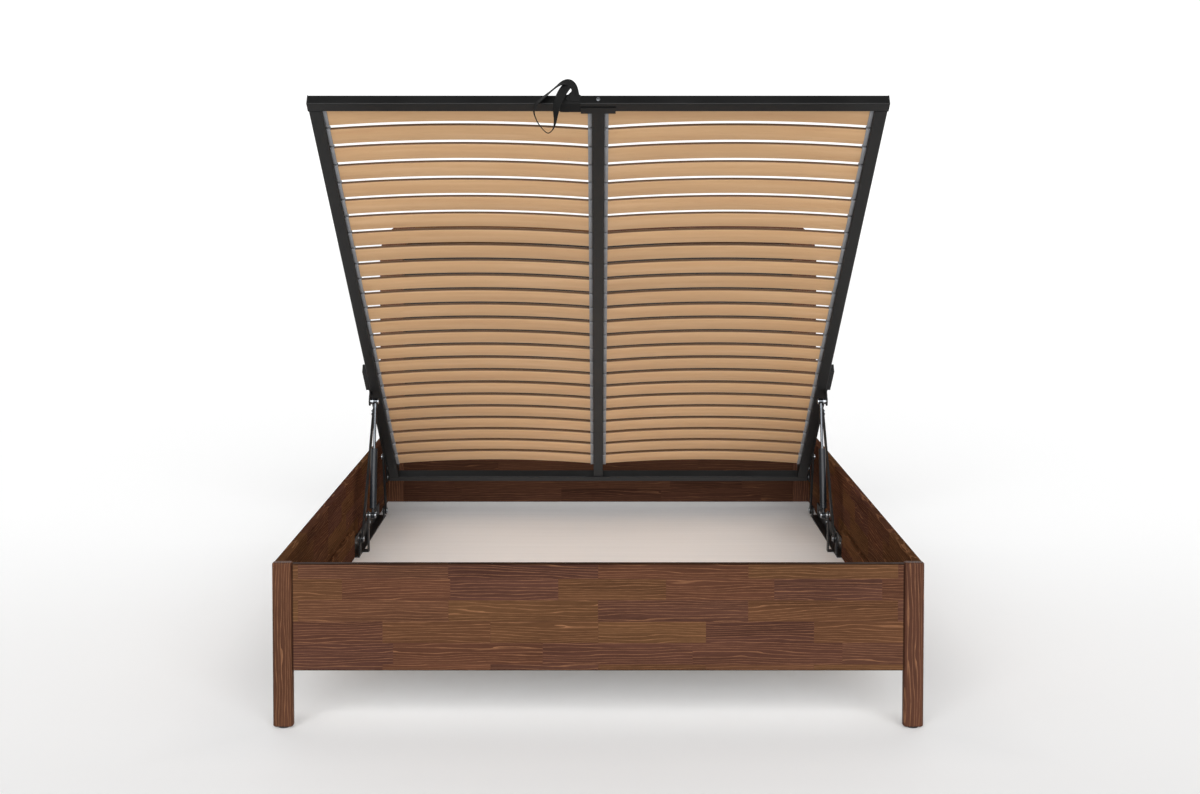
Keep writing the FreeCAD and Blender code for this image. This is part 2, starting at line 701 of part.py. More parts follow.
def bowed_strip(sign):
    """One slat across a column, its underside a flat arc that rises to the crown."""
    low, high = column_inside + slat_end, column_outside - slat_end
    middle = (low + high) / 2
    top = d.slat_seat + d.slat_thickness

    def at(x, z):
        return Vector(sign * x, 0, z)
    corners = [at(low, d.slat_seat), at(high, d.slat_seat), at(high, top), at(low, top)]
    bulges = {0: at(middle, d.slat_seat + d.slat_crown), 2: at(middle, top + d.slat_crown)}
    return Part.Face(outline(corners, bulges)).extrude(Vector(0, d.slat_width, 0))


def holder(sign, face, reach):
    """A socket on a tube's face that takes the end of a slat."""
    ends = (face, face + reach * d.holder_length)
    slot = (face + reach * d.holder_end, ends[1])
    low = d.slat_seat - d.holder_slack
    high = d.slat_seat + d.slat_thickness + d.holder_rise
    wall = d.holder_wall
    room = (-d.holder_slack, d.slat_width + d.holder_slack)
    body = side_box(sign, ends, (room[0] - wall, room[1] + wall), (low - wall, high + wall))
    return body.cut(side_box(sign, slot, room, (low, high)))


def row_of(shape):
    """Copies of a shape at every slat."""
    return [shape.translated(Vector(0, start, 0)) for start in slat_starts]


for name, sign in SIDES:
    feature(f"slats_{name}", row_of(bowed_strip(sign)), deck_pose)
    feature(f"holders_{name}_inner", row_of(holder(sign, column_inside, 1)), deck_pose)
    feature(f"holders_{name}_outer", row_of(holder(sign, column_outside, -1)), deck_pose)

# Top plates of the mechanism, on the outside of the side tubes, with a lug for the strut and a rib at the end
for name, sign in SIDES:
    x = (deck_half, plate_outside)
    lug = (-d.strut_pin_set - d.lug_radius, -d.strut_pin_set + d.lug_radius)
    plate = joined([
        side_box(sign, x, (-d.top_plate_reach, -d.top_plate_start), (0, d.tube_height)),
        side_box(sign, (deck_half, plate_outside + d.top_plate_rib),
                 (-d.top_plate_reach, d.rib_length - d.top_plate_reach), (0, d.tube_height)),
        side_box(sign, x, lug, (-d.strut_pin_drop, d.tube_height)),
        across(sign, x, -d.strut_pin_set, -d.strut_pin_drop, d.lug_radius)])
    plate = plate.cut(across(sign, x, -d.rear_pin_set, pin_level, pin_bore))
    feature(f"top_plate_{name}", [plate], deck_pose)
feature("deck_pivot_pins", [
    headed_pin(sign, *rear_pin, (deck_half, link_head[1]),
               ((plate_outside, link_inside - d.pin_slack), link_head))
    for name, sign in SIDES])

# Gas struts: a cylinder with a gland, and a rod with a piston; both end in an eye
cylinder_end = strut_closed - d.eye_neck - d.strut_end_gap
bore_radius = d.strut_radius - d.strut_wall


def eye(sign, y):
    """The eye at one end of a strut, along its Y axis."""
    return across(sign, eye_span, y, 0, d.eye_radius)


def turned(sign, start, end, radius):
    """A round bar along the strut's axis."""
    return Part.makeCylinder(radius, end - start, Vector(sign * strut_place, start, 0), ALONG_Y)


for name, sign in SIDES:
    shell = joined([
        turned(sign, d.eye_neck, cylinder_end, d.strut_radius),
        turned(sign, 0, d.eye_neck + d.strut_wall, d.rod_radius), eye(sign, 0)])
    shell = shell.cut(Part.makeCompound([
        turned(sign, d.eye_neck + d.strut_wall, cylinder_end - d.strut_gland, bore_radius),
        turned(sign, cylinder_end - d.strut_gland, cylinder_end, d.rod_radius + d.fit_clearance),
        across(sign, eye_span, 0, 0, pin_bore)]))
    feature(f"strut_cylinder_{name}", [shell], side_pose(strut_pivot, strut_angle))
    piston_end = cylinder_end - d.strut_gland - d.strut_end_gap
    rod = joined([
        turned(sign, piston_end - d.piston_length, strut_open, d.rod_radius),
        turned(sign, piston_end - d.piston_length, piston_end, bore_radius - d.fit_clearance),
        turned(sign, strut_open - d.eye_neck, strut_open, d.rod_radius + d.strut_wall),
        eye(sign, strut_open)])
    rod = rod.cut(across(sign, eye_span, strut_open, 0, pin_bore))
    feature(f"strut_rod_{name}", [rod], side_pose(strut_pivot, strut_angle))
rod_collar = (eye_span[1] + d.pin_slack, deck_half - d.pin_slack)
feature("strut_rod_pins", [
    headed_pin(sign, *strut_pin, (eye_head[0], rod_collar[1]), (eye_head, rod_collar))
    for name, sign in SIDES])

# Pull strap: webbing round the foot tube that ends in a hand loop beside it
foot_y, foot_z = open_point(deck_length, 0)
band_gap = d.pin_slack
band_x = (-d.strap_place - d.strap_width / 2, -d.strap_place + d.strap_width / 2)
band_out = band_gap + d.strap_thickness
band = box(band_x, (-deck_length - band_out, d.tube_width - deck_length + band_out),
           (-band_out, d.tube_height + band_out))
band = band.cut(box(band_x, (-deck_length - band_gap, d.tube_width - deck_length + band_gap),
                    (-band_gap, d.tube_height + band_gap)))
band.Placement = deck_pose
loop_top = Vector(band_x[0], foot_y, foot_z + d.strap_rise)
loop_bottom = loop_top + Vector(-d.strap_reach, 0, -d.strap_rise - d.strap_drop)


def loop_solid(radius):
    """A rounded oblong between the two ends of the hand loop, as wide as the webbing."""
    run = loop_bottom - loop_top
    side = Vector(run.z, 0, -run.x).normalize() * radius
    end = Vector(run).normalize() * radius
    corners = [loop_top + side, loop_bottom + side, loop_bottom - side, loop_top - side]
    face = Part.Face(outline(corners, {1: loop_bottom + end, 3: loop_top - end}))
    return face.extrude(Vector(0, -d.strap_width, 0))


loop = loop_solid(d.strap_bend).cut(loop_solid(d.strap_bend - d.strap_thickness))
riser = box((band_x[0], band_x[1]), (foot_y - d.strap_width, foot_y - d.strap_width + d.strap_thickness),
            (foot_z - d.strap_thickness, loop_top.z))
bridge = box((band_x[0], band_x[1]), (foot_y - d.strap_width, foot_y),
             (foot_z - band_out - d.strap_thickness, foot_z - band_out))
feature("pull_strap", [joined([band, loop, riser, bridge])])

# Check every object before anything is written
doc.recompute()
for thing in doc.Objects:
    if "Invalid" in thing.State or "Error" in thing.State:
        raise RuntimeError(f"{thing.Label} failed: {thing.State}")
for node in nodes:
    if node.Shape.isNull() or not node.Shape.isValid():
        raise RuntimeError(f"{node.Label} has no valid shape")

os.makedirs("parts", exist_ok=True)
for node in nodes:
    node.Shape.exportStep(f"parts/{node.Label}.step")

print(f"{len(nodes)} nodes, {slat_count} rows of slats, deck {2 * deck_half:.1f} by {deck_length:.1f}")
for title, point in (
        ("rear pivot", rear_pivot), ("rear pin", rear_pin), ("front pivot", front_pivot),
        ("front pin", front_pin), ("strut pivot", strut_pivot), ("strut pin", strut_pin)):
    print(f"{title}: y {point[0]:.4f} z {point[1]:.4f}")
rear_closed_angle = span(rear_pivot, closed_point(d.rear_pin_set, pin_level))[1]
front_closed_angle = span(front_pivot, closed_point(d.front_pin_set, pin_level))[1]
print(f"rear link {rear_length:.3f} turns {rear_closed_angle - rear_angle:.4f}")
print(f"front link {front_length:.3f} turns {front_closed_angle - front_angle:.4f}")
print(f"strut {strut_open:.3f} to {strut_closed:.3f} turns {strut_closed_angle - strut_angle:.4f}")
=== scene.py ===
import math

import bmesh
import bpy
from mathutils import Matrix, Vector


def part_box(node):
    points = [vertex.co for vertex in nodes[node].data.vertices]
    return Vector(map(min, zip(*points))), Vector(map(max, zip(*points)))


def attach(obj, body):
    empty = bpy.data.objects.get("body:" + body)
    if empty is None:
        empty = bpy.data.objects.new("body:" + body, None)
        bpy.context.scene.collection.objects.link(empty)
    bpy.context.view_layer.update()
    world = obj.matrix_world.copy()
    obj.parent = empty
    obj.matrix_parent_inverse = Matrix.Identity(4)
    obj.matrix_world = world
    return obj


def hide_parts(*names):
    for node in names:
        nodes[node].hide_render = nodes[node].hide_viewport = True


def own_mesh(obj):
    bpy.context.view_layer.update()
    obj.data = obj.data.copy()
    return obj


# An ottoman bed with its slatted deck lifted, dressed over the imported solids.
# Metres, +X to the right seen from the foot end, +Y towards the headboard, +Z up.
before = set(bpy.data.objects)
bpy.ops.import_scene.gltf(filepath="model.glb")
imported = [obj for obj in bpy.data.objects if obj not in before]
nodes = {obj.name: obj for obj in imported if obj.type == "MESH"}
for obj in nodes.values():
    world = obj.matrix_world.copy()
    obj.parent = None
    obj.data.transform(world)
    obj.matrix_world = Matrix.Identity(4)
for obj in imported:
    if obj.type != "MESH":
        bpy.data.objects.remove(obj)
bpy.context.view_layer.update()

# Legs, panels, rails and headboard frame.
# Solid pine, the boards glued up from short staves, all stained walnut and given a thin matt varnish.
# The legs and posts are cut from one length each, and dowels hold the corners.

# Length and height of a stave
GLUED_STAVES = (0.34, 0.049)
ONE_LENGTH = (2.4, 0.2)
# Axes along the fibres, across the staves and through the board
ACROSS_BED = (0, 2, 1)
ALONG_BED = (1, 2, 0)
UPRIGHT = (2, 0, 1)
STAVE_SHIFT = (3.1, 1.7, 2.3)
RING_SPACING = 0.0068
GRAIN_STRETCH = 0.11
# Bands in a metre of a wave texture of scale 1
WAVE_TURNS = 20 / (2 * math.pi)
# Width and colour of a painted shade along the edges of a board
EDGE_LINE = 0.003
PAINTED_EDGE_SHADE = "#1f110b"
WALNUT_TONES = ((0, "#4e332b"), (1, "#60432c"), (0.3, "#573829"), (0.45, "#52362d"), (0.7, "#5b3d2a"))
WALNUT_STREAK = "#8c6346"
# Darker tones and streak for the back panel: painted shade, because it stands behind the lifted deck and
# out of the light
SHADED_BACK_TONES = ((0, "#42291f"), (1, "#4b3023"))
SHADED_BACK_STREAK = "#6b4a33"
POST_TONES = ((0, "#523428"), (1, "#5a3a29"))
# Numbers of the sockets of a mix node that mixes colours
MIX_FACTOR, MIX_A, MIX_B, MIX_RESULT = 0, 6, 7, 2


def linear(colour):
    """An sRGB hex colour as linear red, green, blue and alpha."""
    channels = [int(colour[i:i + 2], 16) / 255 for i in (1, 3, 5)]
    return [c / 12.92 if c <= 0.04045 else ((c + 0.055) / 1.055) ** 2.4 for c in channels] + [1]


def start_material(name):
    """A new material with an empty node tree."""
    material = bpy.data.materials.new(name)
    material.use_nodes = True
    material.node_tree.nodes.clear()
    return material, material.node_tree


def add(tree, kind, inputs, stops=(), **settings):
    """Add a node with its settings. An input takes a value, or the output that is linked to it."""
    node = tree.nodes.new(kind)
    for name, value in settings.items():
        setattr(node, name, value)
    for socket, value in inputs.items():
        if isinstance(value, bpy.types.NodeSocket):
            tree.links.new(value, node.inputs[socket])
        else:
            node.inputs[socket].default_value = value
    for number, (position, colour) in enumerate(stops):
        ramp = node.color_ramp.elements
        element = ramp[number] if number < 2 else ramp.new(position)
        element.position = position
        element.color = linear(colour)
    return node


def pine(name, grain, stave, tones, streak, varnish=0, shaded_edges_of=None):
    """Pine with its growth rings: streaks of late wood, a tone for each stave and fine fibres.

    varnish is how strongly the film over the stain shines. The node named in the last argument gets painted
    shade: a thin dark band along its edges, standing in for the shadow in its seams and on its rounded
    edges.
    """
    material, tree = start_material(name)
    place = add(tree, "ShaderNodeTexCoord", {})
    axes = add(tree, "ShaderNodeSeparateXYZ", {"Vector": place.outputs["Object"]})
    board = add(tree, "ShaderNodeCombineXYZ", {i: axes.outputs[axis] for i, axis in enumerate(grain)})
    staves = add(tree, "ShaderNodeTexBrick", {
        "Vector": board.outputs[0], "Color1": linear("#000000"), "Color2": linear("#ffffff"),
        "Mortar": linear("#808080"), "Scale": 1, "Mortar Size": 0.0003, "Mortar Smooth": 0.2,
        "Brick Width": stave[0], "Row Height": stave[1]},
        offset=0.37, offset_frequency=3, squash=0.72, squash_frequency=2)
    shifted = add(tree, "ShaderNodeVectorMath", {
        0: staves.outputs["Color"], 1: STAVE_SHIFT, 2: board.outputs[0]}, operation="MULTIPLY_ADD")
    fibre_run = add(tree, "ShaderNodeVectorMath", {
        0: shifted.outputs[0], 1: (GRAIN_STRETCH, 1, 1)}, operation="MULTIPLY")
    rings = add(tree, "ShaderNodeTexWave", {
        "Vector": fibre_run.outputs[0], "Scale": 1 / (WAVE_TURNS * RING_SPACING), "Distortion": 24,
        "Detail": 3, "Detail Scale": 0.35, "Detail Roughness": 0.6},
        bands_direction="Y", wave_profile="SAW")
    bands = add(tree, "ShaderNodeTexNoise", {
        "Vector": fibre_run.outputs[0], "Scale": 20, "Detail": 3, "Roughness": 0.6})
    fibres = add(tree, "ShaderNodeTexNoise", {
        "Vector": fibre_run.outputs[0], "Scale": 330, "Detail": 2, "Roughness": 0.7})
    stain = add(tree, "ShaderNodeValToRGB", {"Fac": staves.outputs["Color"]}, stops=tones)
    mottle = add(tree, "ShaderNodeMath", {
        0: fibres.outputs[0], 1: 0.45, 2: bands.outputs[0]}, operation="MULTIPLY_ADD")
    depth = add(tree, "ShaderNodeMapRange", {
        "Value": mottle.outputs[0], "From Min": 0.5, "From Max": 0.95, "To Min": 0.57, "To Max": 1.0})
    stave_stain = add(tree, "ShaderNodeHueSaturation", {
        "Value": depth.outputs[0], "Color": stain.outputs["Color"]})
    late_wood = add(tree, "ShaderNodeMapRange", {
        "Value": rings.outputs["Fac"], "From Min": 0.76, "From Max": 1, "To Max": 1.2})
    broken = add(tree, "ShaderNodeMath", {
        0: late_wood.outputs[0], 1: fibres.outputs[0]}, operation="MULTIPLY")
    streaked = add(tree, "ShaderNodeMix", {
        MIX_FACTOR: broken.outputs[0], MIX_A: stave_stain.outputs["Color"], MIX_B: linear(streak)},
        data_type="RGBA")
    seams = add(tree, "ShaderNodeMath", {0: staves.outputs["Fac"], 1: 0.5}, operation="MULTIPLY")
    colour = add(tree, "ShaderNodeMix", {
        MIX_FACTOR: seams.outputs[0], MIX_A: streaked.outputs[MIX_RESULT], MIX_B: linear(tones[0][1])},
        data_type="RGBA")
    # Painted shade: a dark band along the edges of the front face, standing in for the shadow in the seams
    # with the legs and on the rounded top and bottom edges.
    if shaded_edges_of:
        low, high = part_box(shaded_edges_of)
        off_centre = add(tree, "ShaderNodeVectorMath", {
            0: place.outputs["Object"], 1: (low + high) / 2}, operation="SUBTRACT")
        reach = add(tree, "ShaderNodeVectorMath", {0: off_centre.outputs[0]}, operation="ABSOLUTE")
        past = add(tree, "ShaderNodeVectorMath", {
            0: reach.outputs[0], 1: (high - low) / 2}, operation="SUBTRACT")
        edge = add(tree, "ShaderNodeSeparateXYZ", {"Vector": past.outputs[0]})
        nearest = add(tree, "ShaderNodeMath", {
            0: edge.outputs["X"], 1: edge.outputs["Z"]}, operation="MAXIMUM")
        line = add(tree, "ShaderNodeMapRange", {
            "Value": nearest.outputs[0], "From Min": -EDGE_LINE, "From Max": -EDGE_LINE / 2, "To Max": 0.8})
        colour = add(tree, "ShaderNodeMix", {
            MIX_FACTOR: line.outputs[0], MIX_A: colour.outputs[MIX_RESULT], MIX_B: linear(PAINTED_EDGE_SHADE)},
            data_type="RGBA")
    gloss = add(tree, "ShaderNodeMapRange", {
        "Value": fibres.outputs[0], "From Min": 0.3, "From Max": 0.7, "To Min": 0.42, "To Max": 0.58})
    relief = add(tree, "ShaderNodeMath", {
        0: rings.outputs["Fac"], 1: 0.4, 2: fibres.outputs[0]}, operation="MULTIPLY_ADD")
    bump = add(tree, "ShaderNodeBump", {
        "Strength": 0.35, "Distance": 0.0004, "Height": relief.outputs[0]})
    surface = add(tree, "ShaderNodeBsdfPrincipled", {
        "Base Color": colour.outputs[MIX_RESULT], "Roughness": gloss.outputs[0], "Normal": bump.outputs[0],
        "IOR": 1.5, "Specular IOR Level": varnish})
    add(tree, "ShaderNodeOutputMaterial", {"Surface": surface.outputs[0]})
    return material


def dress(material, *names):
    """Give CAD nodes their finish."""
    for name in names:
        for slot in nodes[name].material_slots:
            slot.material = material


dress(pine("walnut_stained_pine_panel", ACROSS_BED, GLUED_STAVES, WALNUT_TONES, WALNUT_STREAK,
           varnish=0.02, shaded_edges_of="front_panel"), "front_panel")
dress(pine("walnut_stained_pine_back_painted_shade", ACROSS_BED, GLUED_STAVES, SHADED_BACK_TONES, SHADED_BACK_STREAK, varnish=0.02),
      "back_panel")
dress(pine("walnut_stained_pine_rail", ALONG_BED, GLUED_STAVES, WALNUT_TONES, WALNUT_STREAK),
      "side_rail_left", "side_rail_right", "side_plank_left", "side_plank_right")
dress(pine("walnut_stained_pine_post", UPRIGHT, ONE_LENGTH, POST_TONES, WALNUT_STREAK, varnish=0.06),
      "front_leg_left", "front_leg_right", "headboard_post_left", "headboard_post_right")
dress(pine("walnut_stained_pine_cap", ACROSS_BED, ONE_LENGTH, WALNUT_TONES, WALNUT_STREAK),
      "headboard_top_rail", "headboard_board")

# Dowels, cleats, bearers, rest battens and centre foot.
# Planed softwood that stays bare because it is out of sight, glued and pinned to the boards.
BARE_TONES = ((0, "#c49a66"), (1, "#d6b07b"))
BARE_STREAK = "#a87443"
dress(pine("bare_pine_crosswise", ACROSS_BED, ONE_LENGTH, BARE_TONES, BARE_STREAK),
      "floor_bearers", "deck_rest", "joint_dowels")
dress(pine("bare_pine_lengthwise", ALONG_BED, ONE_LENGTH, BARE_TONES, BARE_STREAK), "floor_cleats")
dress(pine("bare_pine_upright", UPRIGHT, ONE_LENGTH, BARE_TONES, BARE_STREAK), "centre_foot")

# Storage floor.
# One sheet of thin fibreboard with a white lacquered face, laid loose on the cleats and bearers.
# The roller leaves faint streaks across the bed in an even white.
STREAK_SPACING = 0.012
STREAK_STRETCH = 0.02
floor_lacquer, tree = start_material("white_lacquered_fibreboard")
place = add(tree, "ShaderNodeTexCoord", {})
rolled = add(tree, "ShaderNodeVectorMath", {
    0: place.outputs["Object"], 1: (STREAK_STRETCH, 1, 1)}, operation="MULTIPLY")
streaks = add(tree, "ShaderNodeTexNoise", {
    "Vector": rolled.outputs[0], "Scale": 1 / STREAK_SPACING, "Detail": 3, "Roughness": 0.6})
shade = add(tree, "ShaderNodeValToRGB", {"Fac": streaks.outputs[0]},
            stops=((0.3, "#f0f0f0"), (0.7, "#f7f7f7")))
sheen = add(tree, "ShaderNodeMapRange", {"Value": streaks.outputs[0], "To Min": 0.38, "To Max": 0.5})
ripple = add(tree, "ShaderNodeBump", {"Strength": 0.1, "Distance": 0.0002, "Height": streaks.outputs[0]})
surface = add(tree, "ShaderNodeBsdfPrincipled", {
    "Base Color": shade.outputs["Color"], "Roughness": sheen.outputs[0], "Normal": ripple.outputs[0]})
add(tree, "ShaderNodeOutputMaterial", {"Surface": surface.outputs[0]})
dress(floor_lacquer, "storage_floor")

# Glides under the feet and caps in the tube ends.
# Moulded black polyethylene with the fine grain of the mould, pressed or pinned in place.
GRIT = 0.0012


def moulded_plastic(name, colour, light, roughness):
    """Moulded plastic: an even colour with a fine mould grain that breaks up the highlight."""
    material, tree = start_material(name)
    place = add(tree, "ShaderNodeTexCoord", {})
    grain = add(tree, "ShaderNodeTexNoise", {
        "Vector": place.outputs["Object"], "Scale": 1 / GRIT, "Detail": 2, "Roughness": 0.5})
    clouds = add(tree, "ShaderNodeTexNoise", {"Vector": place.outputs["Object"], "Scale": 25, "Detail": 2})
    shade = add(tree, "ShaderNodeValToRGB", {"Fac": clouds.outputs[0]}, stops=((0.3, colour), (0.7, light)))
    sheen = add(tree, "ShaderNodeMapRange", {
        "Value": grain.outputs[0], "To Min": roughness - 0.08, "To Max": roughness + 0.08})
    bump = add(tree, "ShaderNodeBump", {"Strength": 0.25, "Distance": 0.0002, "Height": grain.outputs[0]})
    surface = add(tree, "ShaderNodeBsdfPrincipled", {
        "Base Color": shade.outputs["Color"], "Roughness": sheen.outputs[0], "Normal": bump.outputs[0],
        "IOR": 1.5})
    add(tree, "ShaderNodeOutputMaterial", {"Surface": surface.outputs[0]})
    return material


dress(moulded_plastic("moulded_black_polyethylene", "#171718", "#1e1e1f", 0.5), "foot_glides", "tube_caps")

# Screws and pins.
# Zinc-plated steel, driven into the boards or set through the links and brackets that turn on it.
# It is bluish grey, with the cloudy patches and fine lines that plating and rolling leave.
zinc, tree = start_material("zinc_plated_steel")
place = add(tree, "ShaderNodeTexCoord", {})
clouds = add(tree, "ShaderNodeTexNoise", {"Vector": place.outputs["Object"], "Scale": 180, "Detail": 3})
lines = add(tree, "ShaderNodeTexNoise", {"Vector": place.outputs["Object"], "Scale": 900, "Detail": 1})
shade = add(tree, "ShaderNodeValToRGB", {"Fac": clouds.outputs[0]},
            stops=((0.3, "#8f9398"), (0.7, "#b4b8bc")))
sheen = add(tree, "ShaderNodeMapRange", {"Value": clouds.outputs[0], "To Min": 0.2, "To Max": 0.42})
bump = add(tree, "ShaderNodeBump", {"Strength": 0.1, "Distance": 0.0001, "Height": lines.outputs[0]})
surface = add(tree, "ShaderNodeBsdfPrincipled", {
    "Base Color": shade.outputs["Color"], "Metallic": 1, "Roughness": sheen.outputs[0],
    "Normal": bump.outputs[0]})
add(tree, "ShaderNodeOutputMaterial", {"Surface": surface.outputs[0]})
dress(zinc, "frame_screws", "base_pivot_pins", "strut_foot_pins", "front_link_pins",
      "deck_pivot_pins", "strut_rod_pins", "deck_screws")

# Lift mechanism: base brackets, links and top plates; the corner brackets; and the deck's welded tubes.
# Pressed and welded steel with a black powder coat, which has a low gloss and a fine orange peel.
PEEL = 0.0016


def powder_coat(name, dark, light, roughness):
    """Powder-coated steel: near black, with an orange-peel skin and a little uneven gloss."""
    material, tree = start_material(name)
    place = add(tree, "ShaderNodeTexCoord", {})
    peel = add(tree, "ShaderNodeTexNoise", {
        "Vector": place.outputs["Object"], "Scale": 1 / PEEL, "Detail": 1})
    clouds = add(tree, "ShaderNodeTexNoise", {"Vector": place.outputs["Object"], "Scale": 9, "Detail": 4})
    shade = add(tree, "ShaderNodeValToRGB", {"Fac": clouds.outputs[0]}, stops=((0.3, dark), (0.7, light)))
    sheen = add(tree, "ShaderNodeMapRange", {
        "Value": clouds.outputs[0], "To Min": roughness - 0.1, "To Max": roughness + 0.1})
    bump = add(tree, "ShaderNodeBump", {"Strength": 0.15, "Distance": 0.0002, "Height": peel.outputs[0]})
    surface = add(tree, "ShaderNodeBsdfPrincipled", {
        "Base Color": shade.outputs["Color"], "Roughness": sheen.outputs[0], "Normal": bump.outputs[0],
        "IOR": 1.5, "Specular IOR Level": 0.3})
    add(tree, "ShaderNodeOutputMaterial", {"Surface": surface.outputs[0]})
    return material


dress(powder_coat("black_powder_coat_plate", "#141415", "#1b1b1c", 0.45),
      "mechanism_base_left", "mechanism_base_right", "rear_link_left", "rear_link_right", "front_link_left",
      "front_link_right", "top_plate_left", "top_plate_right", "corner_brackets")
dress(powder_coat("black_powder_coat_tube", "#0b0b0b", "#101010", 0.4),
      "deck_foot_tube", "deck_head_tube", "deck_side_tube_left", "deck_side_tube_right",
      "deck_centre_tube", "junction_plates")

# Gas struts.
# A drawn steel cylinder with a smooth dark paint, and a ground and chromed rod that slides out of it.
# Both end in an eye that turns on its pin.
dress(powder_coat("satin_strut_paint", "#15181c", "#1d2126", 0.3),
      "strut_cylinder_left", "strut_cylinder_right")

# Ground chrome: a dark mirror, a little blurred by the fine grinding
CHROME_COLOUR = "#54575b"
chrome, tree = start_material("ground_chrome")
place = add(tree, "ShaderNodeTexCoord", {})
grinding = add(tree, "ShaderNodeTexNoise", {"Vector": place.outputs["Object"], "Scale": 400, "Detail": 2})
sheen = add(tree, "ShaderNodeMapRange", {"Value": grinding.outputs[0], "To Min": 0.15, "To Max": 0.28})
surface = add(tree, "ShaderNodeBsdfPrincipled", {
    "Base Color": linear(CHROME_COLOUR), "Metallic": 1, "Roughness": sheen.outputs[0]})
add(tree, "ShaderNodeOutputMaterial", {"Surface": surface.outputs[0]})
dress(chrome, "strut_rod_left", "strut_rod_right")

# Slat holders.
# Grey plastic sockets that clip to the inner faces of the tubes and take the ends of the slats.
# Each is a rounded block with a pocket in its mouth.
DECK_TILT = math.radians(35.6)
DECK_PIVOT = (0, 0.7535, 0.2625)
DECK_PLACE = Matrix.Translation(DECK_PIVOT) @ Matrix.Rotation(-DECK_TILT, 4, "X")
SLAT_COUNT = 25
SLAT_PITCH = 0.0745
FIRST_SLAT = -1.956
COLUMN = (0.015, 0.65)
HOLDER_LENGTH = 0.0095
HOLDER_WALL = 0.0015
HOLDER_POCKET = 0.0065
HOLDER_SPAN = (-0.0018, 0.0628)
HOLDER_RISE = (0.0082, 0.0207)
HOLDER_ROUNDING = 0.001
HOLDER_CREASE = math.radians(35)
MOUTH_AREA = 1e-4


def take(obj):
    """Make an object the active one and the only one selected."""
    bpy.ops.object.select_all(action="DESELECT")
    obj.select_set(True)
    bpy.context.view_layer.objects.active = obj


def pick_mouth(obj, mouth):
    """In edit mode, select the large face that looks out of the mouth, and nothing else."""
    bpy.ops.mesh.select_mode(type="FACE")
    bpy.ops.mesh.select_all(action="DESELECT")
    mesh = bmesh.from_edit_mesh(obj.data)
    for face in mesh.faces:
        if face.normal.dot(mouth) > 0.99 and face.calc_area() > MOUTH_AREA:
            face.select_set(True)
    bmesh.update_edit_mesh(obj.data)


def apply_modifier(obj, kind, **settings):
    """Finish a piece with a modifier."""
    take(obj)
    modifier = obj.modifiers.new(kind.title(), kind)
    for name, value in settings.items():
        setattr(modifier, name, value)
    bpy.ops.object.modifier_apply(modifier=modifier.name)


def set_in_deck(obj):
    """Repeat a piece at every slat and lay the row in the lifted deck."""
    apply_modifier(obj, "ARRAY", count=SLAT_COUNT, use_relative_offset=False, use_constant_offset=True,
                   constant_offset_displace=(0, SLAT_PITCH, 0))
    obj.matrix_world = DECK_PLACE
    bpy.ops.object.transform_apply()


def finish_piece(obj, name, material, slot, *replaced):
    """Name a deck piece, give it its finish and hang it on the deck."""
    obj.name = name
    obj.data.materials.append(material)
    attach(obj, "slat_deck")
    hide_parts(*replaced)


holder_plastic = moulded_plastic("moulded_grey_polypropylene", "#85878b", "#909296", 0.5)
holder_size = (HOLDER_LENGTH, HOLDER_SPAN[1] - HOLDER_SPAN[0], HOLDER_RISE[1] - HOLDER_RISE[0])
for side, sign in (("left", -1), ("right", 1)):
    for end, face, reach in (("inner", COLUMN[0], 1), ("outer", COLUMN[1], -1)):
        bpy.ops.object.select_all(action="DESELECT")
        middle = (sign * (face + reach * HOLDER_LENGTH / 2), FIRST_SLAT + sum(HOLDER_SPAN) / 2,
                  sum(HOLDER_RISE) / 2)
        bpy.ops.mesh.primitive_cube_add(size=1, location=middle, scale=holder_size)
        holder = bpy.context.object
        bpy.ops.object.transform_apply()
        mouth = Vector((sign * reach, 0, 0))
        bpy.ops.object.mode_set(mode="EDIT")
        bpy.ops.mesh.select_all(action="SELECT")
        bpy.ops.mesh.bevel(offset=HOLDER_ROUNDING, segments=2, affect="EDGES")
        pick_mouth(holder, mouth)
        bpy.ops.mesh.inset(thickness=HOLDER_WALL - HOLDER_ROUNDING)
        bpy.ops.mesh.extrude_region_move(TRANSFORM_OT_translate={"value": mouth * -HOLDER_POCKET})
        bpy.ops.object.mode_set(mode="OBJECT")
        bpy.ops.object.shade_smooth_by_angle(angle=HOLDER_CREASE)
        set_in_deck(holder)
        finish_piece(holder, f"slat_holders_{side}_{end}", holder_plastic, "grey_plastic",
                     f"holders_{side}_{end}")

# Slats.
# Beech veneers glued and pressed into a bow, planed to width, with eased edges and a clear varnish.
# Each is sprung between two holders, crown upwards.
SLAT_ROOM = 0.061
SLAT_WIDTH = 0.0585
SLAT_THICKNESS = 0.008
SLAT_SEAT = 0.01
SLAT_CROWN = 0.014
SLAT_EASING = 0.0022
SLAT_ENDS = (0.0195, 0.6455)
SLAT_CREASE = math.radians(40)
BOW_STEPS = 24
VENEER = 0.00135
SLAT_SHIFT = (5, 5, 5)
FLECK_STRETCH = 0.05
FLECK_COLOUR = "#9a6d45"
# Colour of the painted shade on the slats' long edges
SLAT_EDGE_PAINTED_SHADE = "#523519"
PLY_COLOUR = "#5c3a20"
# These keep the numbers of the slats positive and those of the two columns apart
ROW_START = 100
COLUMN_START = 300
slat_middle = sum(SLAT_ENDS) / 2
slat_half = (SLAT_ENDS[1] - SLAT_ENDS[0]) / 2
bow_radius = (slat_half ** 2 + SLAT_CROWN ** 2) / (2 * SLAT_CROWN)
bow_centre = SLAT_SEAT + SLAT_CROWN - bow_radius
bow_angle = math.asin(slat_half / bow_radius)
